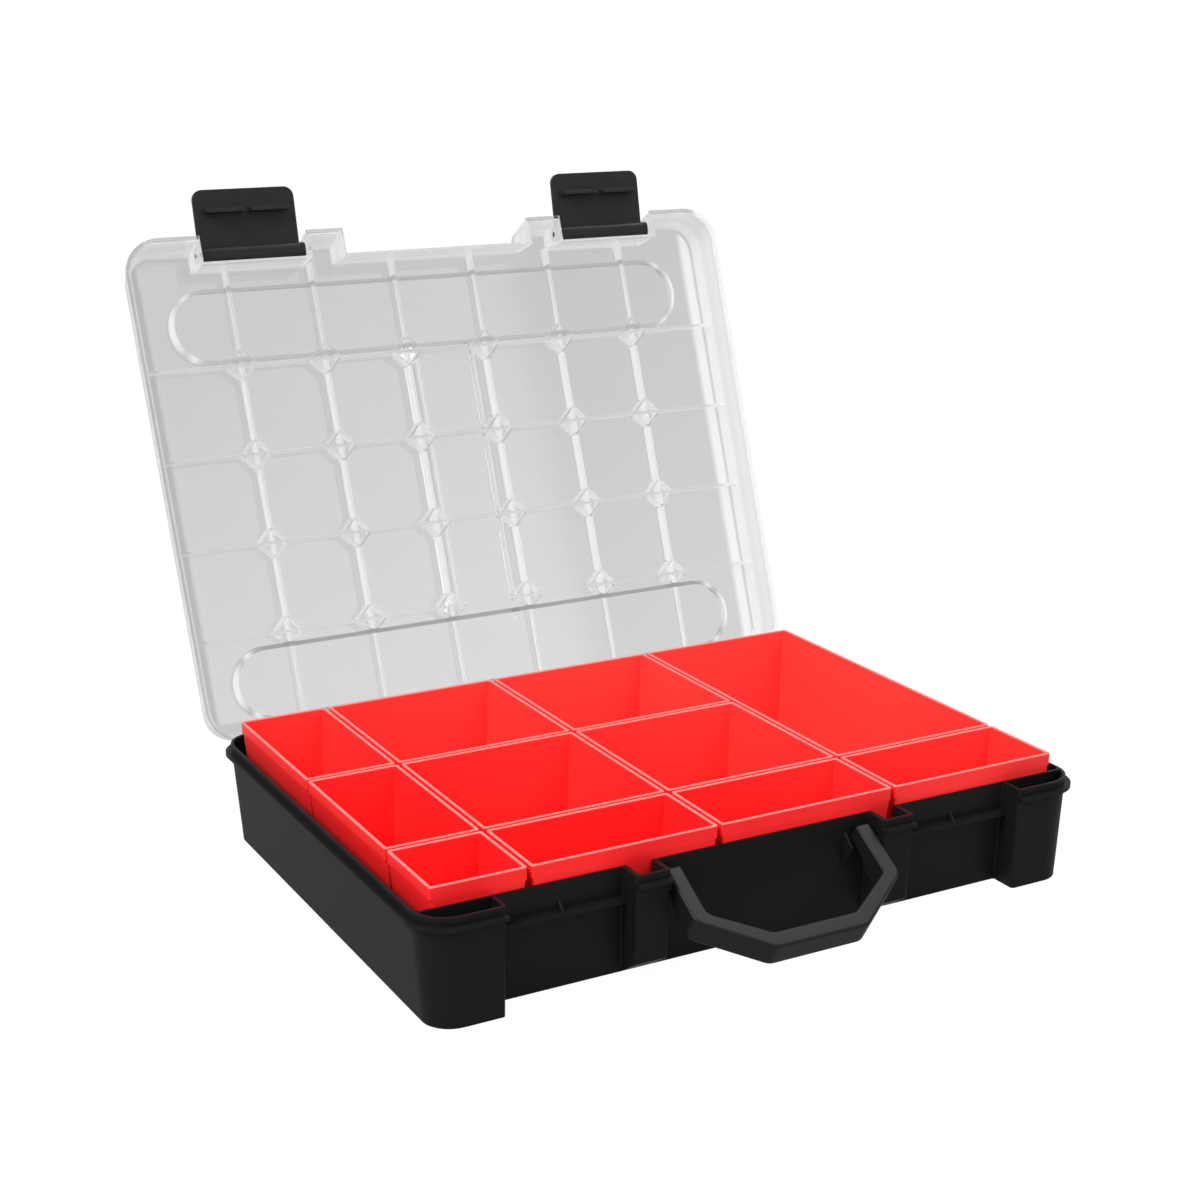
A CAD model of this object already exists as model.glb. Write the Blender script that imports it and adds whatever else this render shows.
"""Looks of an open organizer case: black tray, red lift-out bins, clear ribbed lid, latches and handle.

Everything is in metres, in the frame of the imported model: origin on the table under the bins, +X to the
right, +Y to the hinge and +Z up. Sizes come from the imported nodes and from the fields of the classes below.
"""

import logging
import math
from dataclasses import dataclass
from enum import Enum
from typing import Any, Sequence

import bpy
import numpy as np
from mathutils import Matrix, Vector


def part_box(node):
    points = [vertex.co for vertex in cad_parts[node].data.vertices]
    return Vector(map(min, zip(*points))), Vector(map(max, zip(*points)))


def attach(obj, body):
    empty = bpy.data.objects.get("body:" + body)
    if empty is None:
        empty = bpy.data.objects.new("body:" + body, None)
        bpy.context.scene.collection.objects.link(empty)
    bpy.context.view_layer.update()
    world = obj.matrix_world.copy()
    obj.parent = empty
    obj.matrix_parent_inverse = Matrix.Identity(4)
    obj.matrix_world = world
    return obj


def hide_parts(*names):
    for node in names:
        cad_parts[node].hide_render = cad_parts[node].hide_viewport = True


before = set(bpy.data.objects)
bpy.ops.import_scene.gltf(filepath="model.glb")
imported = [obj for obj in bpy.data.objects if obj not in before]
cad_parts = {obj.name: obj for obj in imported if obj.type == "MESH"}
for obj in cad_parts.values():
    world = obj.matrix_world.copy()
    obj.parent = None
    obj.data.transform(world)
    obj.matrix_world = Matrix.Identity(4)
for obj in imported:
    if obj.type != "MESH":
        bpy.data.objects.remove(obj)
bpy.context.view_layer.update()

log = logging.getLogger("organizer_case")

Colour = tuple[float, float, float]
Point = tuple[float, float, float]
Range = tuple[float, float]
Stops = tuple[tuple[float, float], ...]

MM = 0.001
# Pose of the open lid: how far it leans back from upright, and a point on its hinge line
LID_LEAN = math.radians(20.2)
LID_HINGE = (0.0, 0.1477, 0.05)
# Noise textures swing about this value
NOISE_MIDDLE = 0.5
# Turns below this angle count as straight
STRAIGHT = 1e-6
# Socket numbers of a Mix node that blends colours
MIX_SHARE, MIX_FIRST, MIX_SECOND, MIX_RESULT = 0, 6, 7, 2


class Slot(Enum):
    """Material slots of the record that the modelled pieces belong to."""

    HANDLE = "handle_black"
    BIN = "bin_red"


def opaque(colour: Sequence[float]) -> tuple[float, float, float, float]:
    """Add a full alpha to a colour.

    Args:
        colour: red, green and blue.

    Returns:
        Red, green, blue and 1.
    """
    red, green, blue = colour
    return red, green, blue, 1.0


class Sock:
    """A value in a shader tree: an output socket whose operators add Math nodes."""

    def __init__(self, shader: "Shader", socket: bpy.types.NodeSocket) -> None:
        """Keep the tree and the socket.

        Args:
            shader: tree that the socket is in.
            socket: the output socket.
        """
        self.shader = shader
        self.socket = socket

    def _math(self, operation: str, first: Any, second: Any) -> "Sock":
        """Add one Math node.

        Args:
            operation: name of the operation.
            first: left operand, a number or a Sock.
            second: right operand, a number, a Sock or None.

        Returns:
            The node's value.
        """
        return self.shader.node("ShaderNodeMath", {"operation": operation}, [first, second])

    def __add__(self, other: Any) -> "Sock":
        """Return self + other."""
        return self._math("ADD", self, other)

    def __radd__(self, other: Any) -> "Sock":
        """Return other + self."""
        return self._math("ADD", other, self)

    def __sub__(self, other: Any) -> "Sock":
        """Return self - other."""
        return self._math("SUBTRACT", self, other)

    def __rsub__(self, other: Any) -> "Sock":
        """Return other - self."""
        return self._math("SUBTRACT", other, self)

    def __mul__(self, other: Any) -> "Sock":
        """Return self * other."""
        return self._math("MULTIPLY", self, other)

    def __pow__(self, other: Any) -> "Sock":
        """Return self ** other."""
        return self._math("POWER", self, other)

    def __abs__(self) -> "Sock":
        """Return self without its sign."""
        return self._math("ABSOLUTE", self, None)


class Shader:
    """The node tree of a material or a world, and the one method that adds nodes to it."""

    def __init__(self, owner: bpy.types.Material | bpy.types.World) -> None:
        """Start an empty tree with its output node.

        Args:
            owner: the material or world.
        """
        owner.use_nodes = True
        self.owner = owner
        self.tree = owner.node_tree
        self.tree.nodes.clear()
        kind = "World" if isinstance(owner, bpy.types.World) else "Material"
        self.output = self.tree.nodes.new(f"ShaderNodeOutput{kind}")

    @classmethod
    def named(cls, name: str) -> "Shader":
        """Start a new material.

        Args:
            name: name of the material.

        Returns:
            The material's empty tree.
        """
        return cls(bpy.data.materials.new(name))

    def node(self, kind: str, settings: dict[str, Any], inputs: Any, output: int | str = 0) -> Sock:
        """Add a node.

        Args:
            kind: type name of the node.
            settings: attributes set before its sockets; "stops" gives a ramp's positions and colours.
            inputs: values or Socks, as a list in socket order or a dict by socket name.
            output: which output to return.

        Returns:
            The chosen output.
        """
        made = self.tree.nodes.new(kind)
        for key, value in settings.items():
            if key == "stops":
                while len(made.color_ramp.elements) < len(value):
                    made.color_ramp.elements.new(1.0)
                for element, (place, colour) in zip(made.color_ramp.elements, value):
                    element.position = place
                    element.color = colour
            else:
                setattr(made, key, value)
        pairs = inputs.items() if isinstance(inputs, dict) else enumerate(inputs)
        for key, value in pairs:
            if isinstance(value, Sock):
                self.tree.links.new(value.socket, made.inputs[key])
            elif value is not None:
                made.inputs[key].default_value = value
        return Sock(self, made.outputs[output])

    def coordinate(self, kind: str) -> Sock:
        """Return a texture coordinate.

        Args:
            kind: name of the coordinate.

        Returns:
            The coordinate's vector.
        """
        return self.node("ShaderNodeTexCoord", {}, {}, kind)

    def component(self, vector: Sock, letter: str) -> Sock:
        """Return one component of a vector.

        Args:
            vector: the vector.
            letter: X, Y or Z.

        Returns:
            The component.
        """
        return self.node("ShaderNodeSeparateXYZ", {}, [vector], letter)

    def noise(self, place: Sock, scale: float, detail: float) -> Sock:
        """Return a noise value.

        Args:
            place: where it is looked up.
            scale: features per unit of the place.
            detail: octaves.

        Returns:
            The noise factor.
        """
        return self.node("ShaderNodeTexNoise", {}, {"Vector": place, "Scale": scale, "Detail": detail})

    def mix_colour(self, share: Sock, first: Any, second: Any) -> Sock:
        """Blend two colours by a share.

        Args:
            share: 0 gives the first colour and 1 the second.
            first: colour or Sock.
            second: colour or Sock.

        Returns:
            The blended colour.
        """
        inputs = {MIX_SHARE: share, MIX_FIRST: first, MIX_SECOND: second}
        return self.node("ShaderNodeMix", {"data_type": "RGBA"}, inputs, MIX_RESULT)

    def span(self, value: Sock, low: float, high: float, first: float = 0.0, last: float = 1.0) -> Sock:
        """Map one range of a value onto another and hold it at both ends.

        Args:
            value: the value.
            low: where the range starts.
            high: where the range ends.
            first: result at the start.
            last: result at the end.

        Returns:
            The mapped value.
        """
        knobs = {"Value": value, "From Min": low, "From Max": high, "To Min": first, "To Max": last}
        return self.node("ShaderNodeMapRange", {}, knobs)

    def tone(self, value: Sock, stops: Stops) -> Sock:
        """Look a grey up on a ramp.

        Args:
            value: place on the ramp, from 0 to 1.
            stops: places and their greys.

        Returns:
            The grey.
        """
        greys = [(place, opaque((grey, grey, grey))) for place, grey in stops]
        return self.node("ShaderNodeValToRGB", {"stops": greys}, [value])

    def larger(self, first: Any, second: Any) -> Sock:
        """Return the larger of two values.

        Args:
            first: number or Sock.
            second: number or Sock.

        Returns:
            The larger value.
        """
        return self.node("ShaderNodeMath", {"operation": "MAXIMUM"}, [first, second])

    def dot(self, first: Sock, second: Sequence[float]) -> Sock:
        """Return the length of a vector along a direction.

        Args:
            first: the vector.
            second: the unit direction.

        Returns:
            The length.
        """
        return self.node("ShaderNodeVectorMath", {"operation": "DOT_PRODUCT"}, [first, second], "Value")

    def finish(self, surface: Sock) -> Any:
        """Link the surface to the output.

        Args:
            surface: the shader that the output shows.

        Returns:
            The material or world.
        """
        self.tree.links.new(surface.socket, self.output.inputs["Surface"])
        return self.owner


@dataclass(frozen=True)
class MouldedPlastic:
    """A solid moulded plastic with a faint grain and slight colour variation.

    Attributes:
        name: name of the material.
        colour: middle colour.
        shade_share: how far the colour swings to either side.
        cloud_scale: patches of that swing per metre.
        noise_detail: octaves of the patches and the grain.
        roughness: middle roughness.
        roughness_swing: swing of the roughness with the grain.
        grain_scale: grains per metre.
        grain_depth: height of the grain.
        grain_strength: how strongly the grain turns the normal.
        specular: specular level.
        edge_round: radius of the rounding shown at edges.
        edge_samples: rays that find the edges.
        fade_way: direction in which the colour fades.
        fade_span: distances along it between which it fades.
        fade_colour: colour at the far end, or None for no fade.
        rim: heights between which the rim's colour sets in, or None for no rim.
        rim_colour: colour of the rim.
    """

    name: str
    colour: Colour
    shade_share: float = 0.12
    cloud_scale: float = 9.0
    noise_detail: float = 2.0
    roughness: float = 0.4
    roughness_swing: float = 0.08
    grain_scale: float = 2600.0
    grain_depth: float = 0.02 * MM
    grain_strength: float = 0.25
    specular: float = 0.2
    edge_round: float = 0.5 * MM
    edge_samples: int = 4
    fade_way: Point = (0.0, 0.0, 0.0)
    fade_span: Range = (-0.1, 0.12)
    fade_colour: Colour | None = None
    rim: Range | None = None
    rim_colour: Colour = (1.0, 1.0, 1.0)

    def material(self) -> bpy.types.Material:
        """Make the material.

        Returns:
            The material.
        """
        shader = Shader.named(self.name)
        place = shader.coordinate("Object")
        broad = shader.noise(place, self.cloud_scale, self.noise_detail)
        dark = [part * (1 - self.shade_share) for part in self.colour]
        light = [min(1.0, part * (1 + self.shade_share)) for part in self.colour]
        colour = shader.mix_colour(broad, opaque(dark), opaque(light))
        if self.fade_colour:
            share = shader.span(shader.dot(place, self.fade_way), *self.fade_span)
            colour = shader.mix_colour(share, colour, opaque(self.fade_colour))
        if self.rim:
            share = shader.span(shader.component(place, "Z"), *self.rim)
            colour = shader.mix_colour(share, colour, opaque(self.rim_colour))
        fine = shader.noise(place, self.grain_scale, self.noise_detail)
        edge = shader.node("ShaderNodeBevel", {"samples": self.edge_samples}, {"Radius": self.edge_round})
        relief = {
            "Strength": self.grain_strength,
            "Distance": self.grain_depth,
            "Height": fine,
            "Normal": edge,
        }
        knobs = {
            "Base Color": colour,
            "Roughness": self.roughness + (fine - NOISE_MIDDLE) * self.roughness_swing,
            "Specular IOR Level": self.specular,
            "Normal": shader.node("ShaderNodeBump", {}, relief),
        }
        return shader.finish(shader.node("ShaderNodeBsdfPrincipled", {}, knobs))


@dataclass(frozen=True)
class ClearPlastic:
    """A clear moulded plastic: a flat see-through plate whose walls, ribs and panel steps gather light.

    The panel's two long ovals are stadiums. Their outline is found from the distance along the lid from the
    hinge and the distance across: outside the straight run, the distance to the end's centre less the end's
    radius.

    Attributes:
        name: name of the material.
        lean: angle that the plate leans back from upright.
        hinge: a point on the hinge line.
        colour: tint of the plate.
        top_share: how much dimmer the tint gets.
        top: height at which the dimming is full.
        left_share: dimming for each metre to the left.
        roughness: roughness of the plate.
        haze_scale: patches of the roughness per metre.
        haze_detail: octaves of those patches.
        haze_swing: swing of the roughness.
        wave_scale: ripples per metre.
        wave_detail: octaves of the ripples.
        wave_depth: height of the ripples.
        wave_strength: how strongly the ripples turn the normal.
        ior: index of refraction.
        wall_tones: greys of the white part, from faces that stand on the plate to faces that lie in it.
        skirt: distances behind the inside of the plate between which the band's tones run.
        band_tones: greys across the lid's outer band.
        wall_share: share of white on a face that stands on the plate.
        wall_power: how fast that share falls as a face lies flatter.
        upward_share: how much of it is lost where a face looks up or down the lid.
        wall_alpha: cover of the white part.
        wall_lit: part of its tone that the lamps light.
        wall_glow: part of its tone that shines by itself, for light caught in the plastic.
        wall_roughness: roughness of the white part.
        ovals: distances of the ovals' middle lines from the hinge.
        oval_half: half length of an oval.
        oval_round: radius of an oval's ends.
        step_middle: how far the drawn line lies outside the oval's outline.
        step_reach: half width of that line, and where it has faded out.
        step_tones: greys of the line, from the straight run to the tip of the end.
        step_share: share of the line on standing faces.
        step_flat_share: share of the line on flat faces.
        step_flat: flatness between which the share changes.
        upper_range: tones of the upper oval that are mapped.
        upper_tones: tones that they are mapped onto.
        border: distances across between which the bright edge sets in.
        border_tones: greys of the edge, from the left side to the right.
        border_flat: flatness between which the edge sets in.
        border_share: share of white in the edge.
    """

    name: str
    lean: float
    hinge: Point
    colour: Colour = (0.94, 0.945, 0.95)
    top_share: float = 0.17
    top: float = 0.33
    left_share: float = 1.6
    roughness: float = 0.06
    haze_scale: float = 90.0
    haze_detail: float = 2.0
    haze_swing: float = 0.02
    wave_scale: float = 40.0
    wave_detail: float = 1.0
    wave_depth: float = 0.05 * MM
    wave_strength: float = 0.05
    ior: float = 1.46
    wall_tones: Stops = ((0.0, 0.92), (0.4, 0.86), (0.7, 0.56), (0.95, 0.56), (1.0, 0.8))
    skirt: Range = (3.0 * MM, 32.0 * MM)
    band_tones: Stops = (
        (0.0, 1.0),
        (0.1, 0.98),
        (0.16, 0.8),
        (0.3, 0.94),
        (0.55, 0.86),
        (0.62, 1.0),
        (1.0, 1.0),
    )
    wall_share: float = 0.55
    wall_power: float = 3.0
    upward_share: float = 0.4
    wall_alpha: float = 0.75
    wall_lit: float = 0.35
    wall_glow: float = 0.76
    wall_roughness: float = 0.3
    ovals: Range = (34.15 * MM, 250.35 * MM)
    oval_half: float = 171.6 * MM
    oval_round: float = 20.75 * MM
    step_middle: float = 0.7 * MM
    step_reach: Range = (1.1 * MM, 1.7 * MM)
    step_tones: Stops = ((0.0, 0.24), (0.3, 0.3), (0.55, 0.86), (0.75, 0.4), (1.0, 0.88))
    step_share: float = 0.8
    step_flat_share: float = 0.6
    step_flat: Range = (0.3, 0.6)
    upper_range: Range = (0.2, 0.9)
    upper_tones: Range = (0.4, 0.88)
    border: Range = (184.0 * MM, 187.5 * MM)
    border_tones: Range = (0.36, 1.0)
    border_flat: Range = (0.8, 0.95)
    border_share: float = 0.45

    def oval_edge(self, shader: Shader, across: Sock, run: Sock, middle: float) -> tuple[Sock, Sock]:
        """Mark the outline of one oval.

        Args:
            shader: tree that the nodes go into.
            across: distance across the lid.
            run: distance along the lid from the hinge.
            middle: the same distance of the oval's middle line.

        Returns:
            1 on the outline and 0 away from it; the grey of the step there, which changes round the ends.
        """
        past = shader.larger(abs(across) - (self.oval_half - self.oval_round), 0.0)
        off = run - middle
        reach = (past * past + off * off) ** 0.5
        mark = shader.span(abs(reach - (self.oval_round + self.step_middle)), *self.step_reach, 1.0, 0.0)
        return mark, shader.tone(past * (1 / self.oval_round), self.step_tones)

    def glass(self, shader: Shader, place: Sock) -> Sock:
        """Make the see-through part, a little dimmer to the top and to the left.

        Args:
            shader: tree that the nodes go into.
            place: Object coordinates.

        Returns:
            The glass shader.
        """
        height = shader.component(place, "Z")
        across = shader.component(place, "X")
        dimming = height * (1 / self.top) - across * self.left_share
        dim = [part * (1 - self.top_share) for part in self.colour]
        haze = shader.noise(place, self.haze_scale, self.haze_detail)
        ripple = {
            "Strength": self.wave_strength,
            "Distance": self.wave_depth,
            "Height": shader.noise(place, self.wave_scale, self.wave_detail),
        }
        knobs = {
            "Base Color": shader.mix_colour(dimming, opaque(self.colour), opaque(dim)),
            "Roughness": self.roughness + (haze - NOISE_MIDDLE) * self.haze_swing,
            "Transmission Weight": 1.0,
            "IOR": self.ior,
            "Normal": shader.node("ShaderNodeBump", {}, ripple),
        }
        return shader.node("ShaderNodeBsdfPrincipled", {}, knobs)

    def milk(self, shader: Shader, tone: Sock) -> Sock:
        """Make the white part, which shines a little by itself.

        Args:
            shader: tree that the nodes go into.
            tone: grey of the face.

        Returns:
            The white shader.
        """
        knobs = {
            "Base Color": tone * self.wall_lit,
            "Roughness": self.wall_roughness,
            "Alpha": self.wall_alpha,
            "IOR": self.ior,
            "Emission Color": tone,
            "Emission Strength": self.wall_glow,
        }
        return shader.node("ShaderNodeBsdfPrincipled", {}, knobs)

    def material(self) -> bpy.types.Material:
        """Make the material: glass, mixed with lit white where a face stands off the plate.

        Returns:
            The material.
        """
        shader = Shader.named(self.name)
        place = shader.coordinate("Object")
        facing = shader.coordinate("Normal")
        inward = (0.0, -math.cos(self.lean), math.sin(self.lean))
        upward = (0.0, math.sin(self.lean), math.cos(self.lean))
        minus = {"operation": "SUBTRACT"}
        from_hinge = shader.node("ShaderNodeVectorMath", minus, [place, self.hinge], "Vector")
        run = shader.dot(from_hinge, upward)
        rise = shader.dot(from_hinge, inward) * -1.0
        across = shader.component(place, "X")
        flat = abs(shader.dot(facing, inward))
        level = abs(shader.dot(facing, upward))

        # Grey of the white part: walls first, then the ovals' lines and the bright edge over them
        lower_mark, lower_tone = self.oval_edge(shader, across, run, self.ovals[0])
        upper_mark, upper_tone = self.oval_edge(shader, across, run, self.ovals[1])
        upper_tone = shader.span(upper_tone, *self.upper_range, *self.upper_tones)
        step = shader.larger(lower_mark, upper_mark)
        stepped = lower_tone * lower_mark + upper_tone * upper_mark
        border = shader.span(abs(across), *self.border) * shader.span(flat, *self.border_flat)
        band = shader.tone(shader.span(rise, *self.skirt), self.band_tones)
        wall = shader.tone(flat, self.wall_tones) * band
        sheen = shader.span(across, -self.border[1], self.border[1], *self.border_tones)
        plain = wall + (stepped - wall) * step
        tone = plain + (sheen - plain) * border

        # Share of the white part, in the same order
        standing = (1.0 - flat ** self.wall_power) * (1.0 - level * self.upward_share) * self.wall_share
        line = shader.span(flat, *self.step_flat, self.step_share, self.step_flat_share)
        drawn = standing + (line - standing) * step
        share = shader.larger(drawn, border * self.border_share)
        layers = [share, self.glass(shader, place), self.milk(shader, tone)]
        return shader.finish(shader.node("ShaderNodeMixShader", {}, layers))


@dataclass(frozen=True)
class DrawnSteel:
    """Plain steel wire with fine lines along its length, which is along X.

    Attributes:
        name: name of the material.
        colour: colour of the metal.
        line_scale: lines per metre along X, Y and Z.
        line_detail: octaves of the lines.
        roughness: least roughness.
        line_swing: how much rougher a line is.
    """

    name: str
    colour: Colour = (0.62, 0.62, 0.63)
    line_scale: Point = (40.0, 4000.0, 4000.0)
    line_detail: float = 2.0
    roughness: float = 0.28
    line_swing: float = 0.15

    def material(self) -> bpy.types.Material:
        """Make the material.

        Returns:
            The material.
        """
        shader = Shader.named(self.name)
        place = shader.coordinate("Object")
        drawn = shader.node("ShaderNodeMapping", {}, {"Vector": place, "Scale": self.line_scale})
        lines = shader.noise(drawn, 1.0, self.line_detail)
        knobs = {
            "Base Color": opaque(self.colour),
            "Metallic": 1.0,
            "Roughness": self.roughness + lines * self.line_swing,
        }
        return shader.finish(shader.node("ShaderNodeBsdfPrincipled", {}, knobs))


def fillet_path(points: Sequence[Sequence[float]], radii: Sequence[float], steps: int) -> np.ndarray:
    """Round the corners of an open line with arcs.

    An arc touches both runs at radius * tan(turn / 2) from the corner; its points are a spherical
    interpolation between the two touching radii about the arc's centre.

    Args:
        points: corners of the line.
        radii: radius at each corner; 0 keeps the corner.
        steps: points on each arc.

    Returns:
        Array of points along the rounded line.
    """
    corners = np.asarray(points, float)
    pieces = [corners[:1]]
    for before, here, after, radius in zip(corners, corners[1:], corners[2:], radii[1:]):
        way_in = (here - before) / np.linalg.norm(here - before)
        way_out = (after - here) / np.linalg.norm(after - here)
        turn = math.acos(float(np.clip(way_in @ way_out, -1.0, 1.0)))
        if radius <= 0 or turn < STRAIGHT:
            pieces.append(here[None])
            continue
        touch = radius * math.tan(turn / 2)
        start = here - way_in * touch
        end = here + way_out * touch
        bisector = (way_out - way_in) / np.linalg.norm(way_out - way_in)
        centre = here + bisector * radius / math.cos(turn / 2)
        share = np.linspace(0, 1, steps)[:, None]
        from_start = np.sin((1 - share) * turn) * (start - centre)
        from_end = np.sin(share * turn) * (end - centre)
        pieces.append(centre + (from_start + from_end) / math.sin(turn))
    pieces.append(corners[-1:])
    return np.concatenate(pieces)


def rounded_rings(
    half_x: np.ndarray, half_y: np.ndarray, radius: np.ndarray, z: np.ndarray, steps: int
) -> np.ndarray:
    """Stack rounded rectangles.

    Each ring is four quarter circles about the corner centres (half - radius), joined by straight sides.

    Args:
        half_x: half width of each ring.
        half_y: half depth of each ring.
        radius: corner radius of each ring.
        z: height of each ring.
        steps: points on each quarter circle.

    Returns:
        Array of shape (rings, points, 3), counter-clockwise seen from above.
    """
    turn = (np.arange(4)[:, None] * 0.5 + np.linspace(0, 0.5, steps)[None, :]).ravel() * math.pi
    sign_x = np.repeat([1.0, -1.0, -1.0, 1.0], steps)
    sign_y = np.repeat([1.0, 1.0, -1.0, -1.0], steps)
    x = (half_x - radius)[:, None] * sign_x + radius[:, None] * np.cos(turn)
    y = (half_y - radius)[:, None] * sign_y + radius[:, None] * np.sin(turn)
    return np.stack([x, y, np.broadcast_to(z[:, None], x.shape)], axis=-1)


def loft_faces(rings: int, points: int) -> list[list[int]]:
    """Return the faces of a tube of rings, with a cap on the first and the last ring.

    Args:
        rings: number of rings.
        points: points on each ring.

    Returns:
        Lists of vertex numbers.
    """
    ring = np.arange(rings - 1)[:, None] * points
    here = np.arange(points)[None, :]
    after = (here + 1) % points
    corners = [ring + here, ring + after, ring + points + after, ring + points + here]
    faces = np.stack(corners, axis=-1).reshape(-1, 4).tolist()
    faces.append(np.arange(points)[::-1].tolist())
    faces.append((np.arange(points) + (rings - 1) * points).tolist())
    return faces


@dataclass
class Piece:
    """A finished mesh piece and where it belongs.

    Attributes:
        name: name of the piece.
        body: body that it moves with.
        slot: material slot of the record.
        replaced: CAD nodes that it stands in for.
        flat_weight: how far the large faces rule the shading.
    """

    name: str
    body: str
    slot: Slot
    replaced: tuple[str, ...] = ()
    flat_weight: int = 90

    def build(
        self, vertices: np.ndarray, faces: list[list[int]], material: bpy.types.Material
    ) -> bpy.types.Object:
        """Put arrays into a mesh object, shade it smooth and tie it to its body.

        Args:
            vertices: array of shape (n, 3).
            faces: lists of vertex numbers.
            material: finish of the piece.

        Returns:
            The object.
        """
        mesh = bpy.data.meshes.new(self.name)
        mesh.from_pydata(vertices.tolist(), [], faces)
        mesh.polygons.foreach_set("use_smooth", np.ones(len(mesh.polygons), bool))
        mesh.update()
        made = bpy.data.objects.new(self.name, mesh)
        bpy.context.collection.objects.link(made)
        mesh.materials.append(material)
        weighted = made.modifiers.new("even_flats", "WEIGHTED_NORMAL")
        weighted.weight = self.flat_weight
        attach(made, self.body)
        if self.replaced:
            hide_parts(*self.replaced)
        log.info("%s: %d faces on %s", self.name, len(faces), self.body)
        return made


@dataclass
class BinSet:
    """The red lift-out bins: leaning walls under an upright band, with thin rims and small corners.

    Attributes:
        wall: thickness of the walls.
        floor: thickness of the floor.
        band: height of the upright band.
        step: how far the band stands proud of the side walls.
        draft: lean of the walls.
        corner: radius of the upright corners.
        rim_round: radius of the rim's edges.
        step_round: radius of the step's edges.
        foot_round: radius round the foot.
        floor_round: radius round the floor inside.
        foot_reach: width of the last ring under the foot, before the flat cap.
        floor_reach: width of the last ring on the floor, before the flat cap.
        steps: points on each arc.
    """

    wall: float = 1.6 * MM
    floor: float = 1.6 * MM
    band: float = 7.0 * MM
    step: float = 0.8 * MM
    draft: float = math.radians(3.7)
    corner: float = 1.3 * MM
    rim_round: float = 0.45 * MM
    step_round: float = 0.3 * MM
    foot_round: float = 1.2 * MM
    floor_round: float = 2.5 * MM
    foot_reach: float = 5.0 * MM
    floor_reach: float = 7.0 * MM
    steps: int = 7

    def profile(self, height: float) -> np.ndarray:
        """Return the wall's section from the outer foot, over the rim, to the floor inside.

        The band stands proud of the two side walls by the step, and runs flush into the front and rear walls.

        Args:
            height: height of the bin.

        Returns:
            Array of inset in X, inset in Y and height above the foot, one row for every ring.
        """
        slope = math.tan(self.draft)
        band_foot = height - self.band
        lean = band_foot * slope
        inside = self.wall + (height - self.floor) * slope
        middle = inside + self.floor_reach
        corners = [
            (self.step + lean + self.foot_reach, lean + self.foot_reach, 0.0),
            (self.step + lean, lean, 0.0),
            (self.step, 0.0, band_foot),
            (0.0, 0.0, band_foot),
            (0.0, 0.0, height),
            (self.wall, self.wall, height),
            (inside, inside, self.floor),
            (middle, middle, self.floor),
        ]
        rounds = (
            0.0,
            self.foot_round,
            self.step_round,
            self.step_round,
            self.rim_round,
            self.rim_round,
            self.floor_round,
        )
        return fillet_path(corners, rounds, self.steps)

    def build(self, node: str, material: bpy.types.Material) -> bpy.types.Object:
        """Model one bin in the place of its node.

        Args:
            node: name of the bin's node and body.
            material: finish of the bin.

        Returns:
            The object.
        """
        low, high = (np.array(corner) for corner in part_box(node))
        middle = (low + high) / 2
        half = (high - low) / 2
        line = self.profile(high[2] - low[2])
        radius = np.full(len(line), self.corner)
        rings = rounded_rings(half[0] - line[:, 0], half[1] - line[:, 1], radius, line[:, 2], self.steps)
        vertices = rings + np.array([middle[0], middle[1], low[2]])
        faces = loft_faces(rings.shape[0], rings.shape[1])
        piece = Piece(f"{node}_shell", node, Slot.BIN, (node,))
        return piece.build(vertices.reshape(-1, 3), faces, material)


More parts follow.
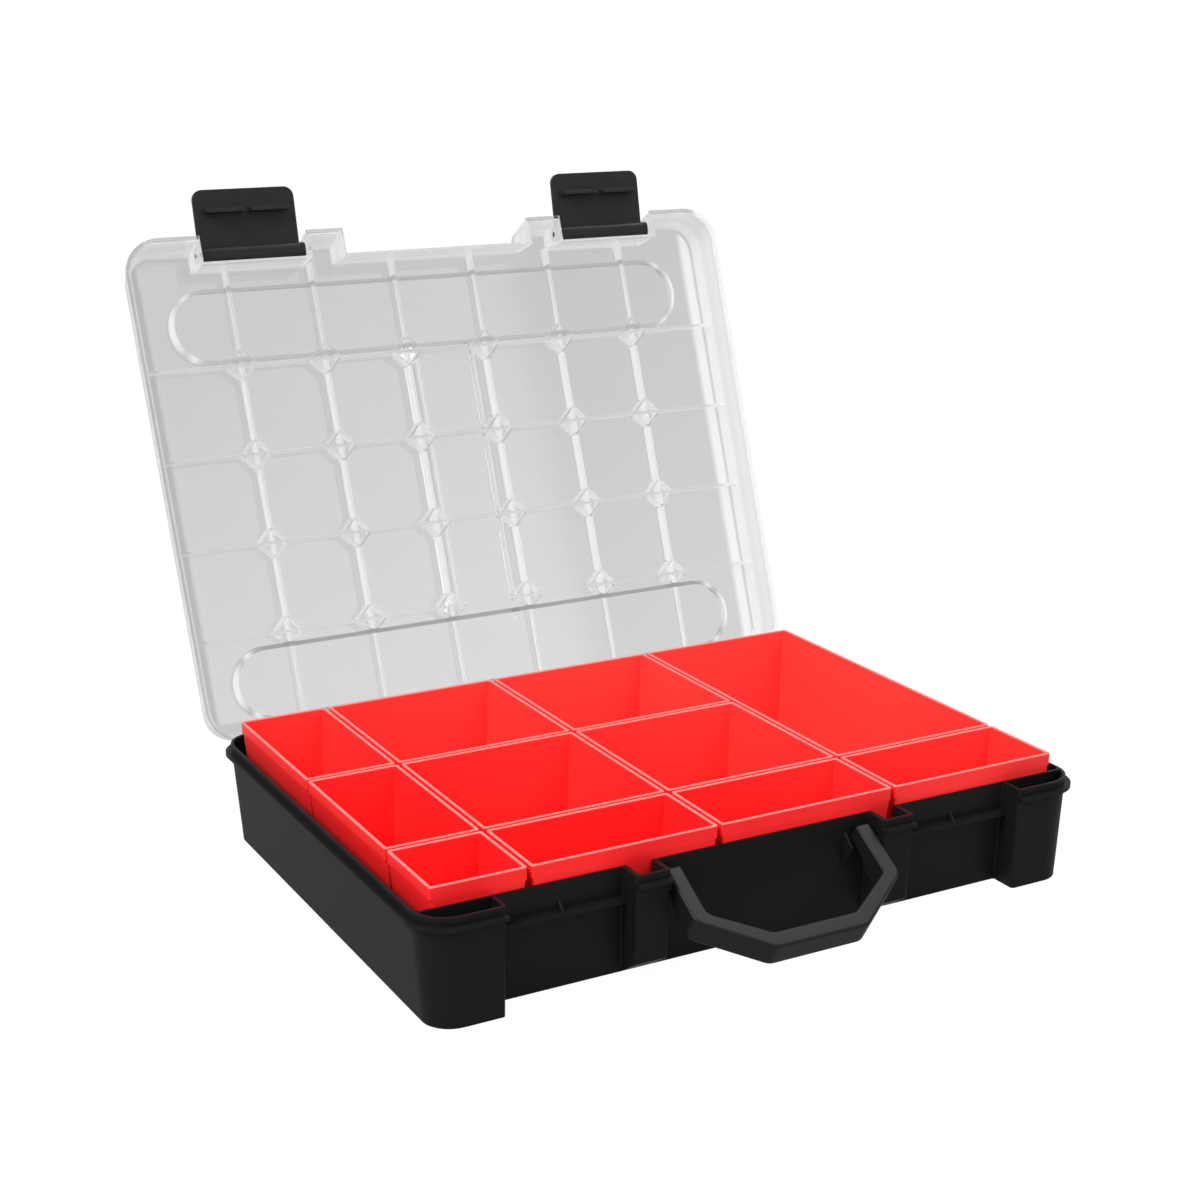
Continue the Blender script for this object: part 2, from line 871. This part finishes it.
@dataclass
class Handle:
    """The carrying handle: a thick bar bent into a shallow U that swings on two pins.

    Attributes:
        forward: distance of the pins in front of the origin.
        height: height of the pins.
        half_width: half of the width over both arms.
        arm: width of an arm.
        heel: how far an arm reaches behind the pins.
        elbow_outer: where an arm's outer edge turns inward, forward of the pins.
        elbow_inner: the same for the inner edge.
        reach: distance of the bar's outer edge from the pins.
        bar: width of the bar.
        bar_half: half length of the bar's outer edge.
        bar_half_inner: half length of the bar's inner edge.
        bend_outer: radius of the bends in the outer edge.
        bend_inner: radius of the bends in the inner edge.
        stations: distances along an arm where its section is set.
        top: height of the upper face above the pins' plane.
        heel_depth: depth of the lower face under that plane at the heels.
        bar_depth: the same at the bar.
        deepen_from: distance from the pins where the arms start to deepen.
        deepen_over: distance over which they deepen.
        edge_round: radius of the long edges and the heels' ends.
        heel_steps: rings round a heel's end.
        heel_share: how much smaller the edges' radius gets with those rings.
        pin_radius: radius of a pin.
        pin_end: distance of a pin's end from the middle.
        pin_round: radius of the edge of its end.
        pin_tip: radius of the flat cap on its end.
        pin_sides: points round a pin.
        swing: how far the handle hangs below level in the pose shown.
        steps: points on each arc.
    """

    forward: float = 144.0 * MM
    height: float = 47.0 * MM
    half_width: float = 62.1 * MM
    arm: float = 9.0 * MM
    heel: float = 8.7 * MM
    elbow_outer: float = 25.7 * MM
    elbow_inner: float = 22.6 * MM
    reach: float = 51.1 * MM
    bar: float = 9.5 * MM
    bar_half: float = 27.5 * MM
    bar_half_inner: float = 24.6 * MM
    bend_outer: float = 8.0 * MM
    bend_inner: float = 6.0 * MM
    stations: tuple[float, ...] = (4.0 * MM, 9.0 * MM, 14.0 * MM)
    top: float = 5.0 * MM
    heel_depth: float = 5.0 * MM
    bar_depth: float = 10.5 * MM
    deepen_from: float = 2.0 * MM
    deepen_over: float = 12.0 * MM
    edge_round: float = 1.6 * MM
    heel_steps: int = 4
    heel_share: float = 0.6
    pin_radius: float = 2.5 * MM
    pin_end: float = 66.0 * MM
    pin_round: float = 0.5 * MM
    pin_tip: float = 1.0 * MM
    pin_sides: int = 32
    swing: float = math.radians(30.5)
    steps: int = 8

    def side_line(
        self, across: float, elbow: float, bar_half: float, reach: float, bend: float
    ) -> np.ndarray:
        """Return one edge line of the handle, drawn level, from the right heel round to the left heel.

        Args:
            across: distance of the arm's edge from the middle.
            elbow: where the arm's edge turns inward.
            bar_half: half length of the bar's edge.
            reach: distance of the bar's edge from the pivot.
            bend: radius of the bends.

        Returns:
            Array of distance across and distance forward of the pivot.
        """
        turn = np.linspace(math.pi / 2, 0, self.heel_steps)
        foot = self.edge_round * (1 - np.sin(turn)) - self.heel
        arm = [(across, run) for run in (*foot, *self.stations)]
        bends = [(across, elbow), (bar_half, reach)]
        right = arm + bends
        left = [(-x, run) for x, run in reversed(right)]
        straight = [0.0] * len(arm)
        rounds = straight + [bend] * (2 * len(bends)) + straight
        return fillet_path(right + left, rounds, self.steps)

    def swung(self, x: np.ndarray, run: np.ndarray, rise: np.ndarray) -> np.ndarray:
        """Turn level points about the pins into the pose shown.

        Args:
            x: distance across.
            run: distance forward of the pins.
            rise: height above the pins.

        Returns:
            Array of points in the model's frame.
        """
        cosine, sine = math.cos(self.swing), math.sin(self.swing)
        y = -self.forward - cosine * run - sine * rise
        z = self.height - sine * run + cosine * rise
        return np.stack([x, y, z], axis=-1)

    def grip(self, material: bpy.types.Material) -> bpy.types.Object:
        """Carry a rounded rectangle along the line between the inner and outer edges.

        It deepens away from the pins by a smooth step, 3 g^2 - 2 g^3, and shrinks round the heels' ends.

        Args:
            material: finish of the handle.

        Returns:
            The object.
        """
        outer = self.side_line(
            self.half_width, self.elbow_outer, self.bar_half, self.reach, self.bend_outer
        )
        inner = self.side_line(
            self.half_width - self.arm,
            self.elbow_inner,
            self.bar_half_inner,
            self.reach - self.bar,
            self.bend_inner,
        )
        middle = (outer + inner) / 2
        span = outer - inner
        half = np.linalg.norm(span, axis=1) / 2
        way = span / (2 * half[:, None])
        grow = np.clip((middle[:, 1] - self.deepen_from) / self.deepen_over, 0, 1)
        depth = self.heel_depth + (self.bar_depth - self.heel_depth) * grow * grow * (3 - 2 * grow)
        ends = self.edge_round * (1 - np.cos(np.linspace(math.pi / 2, 0, self.heel_steps)))
        trim = np.zeros(len(middle))
        trim[: self.heel_steps] = ends
        trim[-self.heel_steps :] = ends[::-1]
        tall = (self.top + depth) / 2
        radius = np.full(len(middle), self.edge_round) - trim * self.heel_share
        local = rounded_rings(half - trim, tall - trim, radius, np.zeros(len(middle)), self.steps)
        along = local[..., 0]
        rise = local[..., 1] + ((self.top - depth) / 2)[:, None]
        x = middle[:, 0, None] + way[:, 0, None] * along
        run = middle[:, 1, None] + way[:, 1, None] * along
        points = self.swung(x, run, rise)
        faces = loft_faces(points.shape[0], points.shape[1])
        piece = Piece("handle_grip", "handle", Slot.HANDLE, ("handle",))
        return piece.build(points.reshape(-1, 3), faces, material)

    def pin(self, side: int, material: bpy.types.Material) -> bpy.types.Object:
        """Turn one pin about the pivot line.

        Args:
            side: -1 for the left pin and 1 for the right one.
            material: finish of the handle.

        Returns:
            The object.
        """
        outline = [
            (self.half_width - self.arm / 2, self.pin_radius),
            (self.pin_end, self.pin_radius),
            (self.pin_end, self.pin_tip),
        ]
        section = fillet_path(outline, (0.0, self.pin_round, 0.0), self.steps)
        turn = np.linspace(0, 2 * math.pi, self.pin_sides, endpoint=False) * side
        x = np.broadcast_to(side * section[:, :1], (len(section), len(turn)))
        y = section[:, 1:] * np.cos(turn) - self.forward
        z = section[:, 1:] * np.sin(turn) + self.height
        points = np.stack([x, y, z], axis=-1)
        faces = loft_faces(len(section), len(turn))
        word = "left" if side < 0 else "right"
        piece = Piece(f"handle_pin_{word}", "handle", Slot.HANDLE)
        return piece.build(points.reshape(-1, 3), faces, material)

    def build(self, material: bpy.types.Material) -> None:
        """Model the handle and its two pins in the place of the node.

        Args:
            material: finish of the handle.
        """
        self.grip(material)
        self.pin(-1, material)
        self.pin(1, material)


@dataclass(frozen=True)
class Lamp:
    """A soft square area lamp.

    Attributes:
        name: name of the lamp.
        place: where it stands.
        aim: the point it faces.
        size: side of its square.
        power: watts.
        mirrored: whether glossy surfaces show it.
    """

    name: str
    place: Point
    aim: Point
    size: float
    power: float
    mirrored: bool

    def build(self) -> None:
        """Add the lamp to the scene, turned to its aim."""
        data = bpy.data.lights.new(self.name, "AREA")
        data.size = self.size
        data.energy = self.power
        lamp = bpy.data.objects.new(self.name, data)
        lamp.location = self.place
        way = np.array(self.aim, float) - np.array(self.place, float)
        flat = math.hypot(way[0], way[1])
        lamp.rotation_euler = (math.atan2(flat, -way[2]), 0.0, math.atan2(-way[0], way[1]))
        lamp.visible_glossy = self.mirrored
        bpy.context.collection.objects.link(lamp)


@dataclass
class Studio:
    """White table, soft light and the camera of the photograph.

    Attributes:
        image_size: side of the photograph in pixels.
        focal_pixels: focal length in pixels.
        axis_x: column where the optical axis meets the picture.
        axis_y: row where it does.
        azimuth: turn of the camera to the right of +Y.
        elevation: how far it looks down.
        place: where it stands.
        near_clip: nearest distance that it shows.
        sensor: width of its sensor in millimetres.
        sky_light: brightness of the sky as a light.
        sky_mirrored: brightness of the sky in glossy surfaces.
        sky_glints: least and greatest brightness of the sky through clear plastic.
        glint_scale: patches of that sky.
        glint_detail: octaves of those patches.
        glint_range: noise values between which the patches brighten.
        floor_half: half of the floor's side.
        floor_grey: grey of the floor under the lamps.
        floor_white: glow of the floor towards the camera.
        floor_mirrored: glow of the floor in glossy surfaces.
        floor_behind: glow of the floor through clear plastic.
        floor_glow: share of glow; the rest is lit and takes shadows.
        lamps: the lamps.
    """

    image_size: float = 1200.0
    focal_pixels: float = 2027.8
    axis_x: float = 622.3
    axis_y: float = 777.8
    azimuth: float = math.radians(29.014)
    elevation: float = math.radians(21.172)
    place: Point = (-0.5312, -0.9405, 0.4635)
    near_clip: float = 0.01
    sensor: float = 36.0
    sky_light: float = 0.55
    sky_mirrored: float = 0.64
    sky_glints: Range = (0.3, 1.0)
    glint_scale: float = 2.2
    glint_detail: float = 1.0
    glint_range: Range = (0.44, 0.56)
    floor_half: float = 30.0
    floor_grey: float = 0.6
    floor_white: float = 1.08
    floor_mirrored: float = 0.4
    floor_behind: float = 0.675
    floor_glow: float = 0.9
    lamps: tuple[Lamp, ...] = (
        Lamp("key", (-1.9, -0.5, 2.1), (0.0, 0.0, 0.1), size=1.2, power=58.0, mirrored=True),
        Lamp("fill", (0.6, -2.3, 1.6), (0.0, 0.0, 0.1), size=1.6, power=22.0, mirrored=False),
        Lamp("top", (0.9, 0.2, 1.9), (0.0, 0.0, 0.0), size=1.0, power=14.0, mirrored=True),
    )

    def camera(self) -> None:
        """Set the camera up so that its optical axis meets the picture at the fitted pixel."""
        data = bpy.data.cameras.new("camera")
        data.sensor_width = self.sensor
        data.lens = self.focal_pixels / self.image_size * self.sensor
        data.shift_x = (self.image_size / 2 - self.axis_x) / self.image_size
        data.shift_y = (self.axis_y - self.image_size / 2) / self.image_size
        data.clip_start = self.near_clip
        eye = bpy.data.objects.new("camera", data)
        eye.location = self.place
        eye.rotation_euler = (math.pi / 2 - self.elevation, 0.0, -self.azimuth)
        bpy.context.collection.objects.link(eye)
        bpy.context.scene.camera = eye

    def ray_kinds(self, shader: Shader) -> tuple[Sock, Sock, Sock]:
        """Tell the rays that show the surroundings from the rays that light the object.

        Args:
            shader: tree that the nodes go into.

        Returns:
            Three values, each 1 for its own rays and 0 for the rest: rays from the camera, mirrored rays, and
            rays through clear plastic.
        """
        camera = shader.node("ShaderNodeLightPath", {}, {}, "Is Camera Ray")
        glossy = shader.node("ShaderNodeLightPath", {}, {}, "Is Glossy Ray")
        through = shader.node("ShaderNodeLightPath", {}, {}, "Is Transmission Ray")
        return camera, glossy * (1.0 - through), through

    def floor(self) -> None:
        """Lay a wide pale floor: white to the camera with a faint shadow, greyer behind clear plastic."""
        half = self.floor_half
        mesh = bpy.data.meshes.new("floor")
        corners = [(-half, -half, 0.0), (half, -half, 0.0), (half, half, 0.0), (-half, half, 0.0)]
        mesh.from_pydata(corners, [], [[0, 1, 2, 3]])
        floor = bpy.data.objects.new("floor", mesh)
        bpy.context.collection.objects.link(floor)
        shader = Shader.named("floor_white")
        camera, mirrored, through = self.ray_kinds(shader)
        white = camera * self.floor_white + mirrored * self.floor_mirrored + through * self.floor_behind
        share = (camera + mirrored) * self.floor_glow + through
        grey = opaque((self.floor_grey, self.floor_grey, self.floor_grey))
        lit = shader.node("ShaderNodeBsdfDiffuse", {}, {"Color": grey})
        glow = shader.node("ShaderNodeEmission", {}, {"Color": white, "Strength": 1.0})
        mesh.materials.append(shader.finish(shader.node("ShaderNodeMixShader", {}, [share, lit, glow])))

    def world(self) -> None:
        """Surround the scene with an even white that lights it gently and glints in clear plastic."""
        world = bpy.data.worlds.new("studio")
        shader = Shader(world)
        camera, mirrored, through = self.ray_kinds(shader)
        cloud = shader.noise(shader.coordinate("Generated"), self.glint_scale, self.glint_detail)
        glint = shader.span(cloud, *self.glint_range, *self.sky_glints)
        lighting = (1.0 - camera - mirrored - through) * self.sky_light
        strength = lighting + camera + mirrored * self.sky_mirrored + through * glint
        shader.finish(shader.node("ShaderNodeBackground", {}, {"Color": strength, "Strength": 1.0}))
        bpy.context.scene.world = world

    def build(self) -> None:
        """Set up the floor, the light and the camera."""
        self.world()
        self.floor()
        for lamp in self.lamps:
            lamp.build()
        self.camera()


def dress(node: str, material: bpy.types.Material) -> None:
    """Give a CAD node a finish.

    Args:
        node: name of the node.
        material: its new finish.
    """
    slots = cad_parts[node].data.materials
    slots.clear()
    slots.append(material)
    log.info("%s: CAD node in %s", node, material.name)


def main() -> None:
    """Build the studio and every piece, and report each of them."""
    logging.basicConfig(level=logging.INFO)
    scene = bpy.context.scene
    scene.view_settings.view_transform = "Standard"
    Studio().build()

    black = MouldedPlastic("tray_plastic", (0.009, 0.009, 0.0092), specular=0.1).material()
    grip = MouldedPlastic("handle_plastic", (0.0095, 0.0095, 0.0098), specular=0.2).material()
    latch = MouldedPlastic("latch_plastic", (0.016, 0.016, 0.0163), specular=0.2).material()
    red = MouldedPlastic(
        "bin_plastic",
        (0.96, 0.019, 0.02),
        shade_share=0.02,
        fade_way=(0.6, 0.8, 0.0),
        fade_colour=(0.96, 0.062, 0.054),
        specular=0.15,
        rim=(69.3 * MM, 69.7 * MM),
        rim_colour=(1.0, 0.2, 0.18),
    ).material()
    clear = ClearPlastic("lid_plastic", LID_LEAN, LID_HINGE).material()
    steel = DrawnSteel("pin_wire").material()

    dress("base_tray", black)
    dress("latch_left", latch)
    dress("latch_right", latch)
    dress("lid", clear)
    dress("hinge_pin_left", steel)
    dress("hinge_pin_right", steel)
    Handle().build(grip)
    bins = BinSet()
    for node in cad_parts:
        if node.startswith("bin_"):
            bins.build(node, red)


if __name__ == "__main__":
    main()
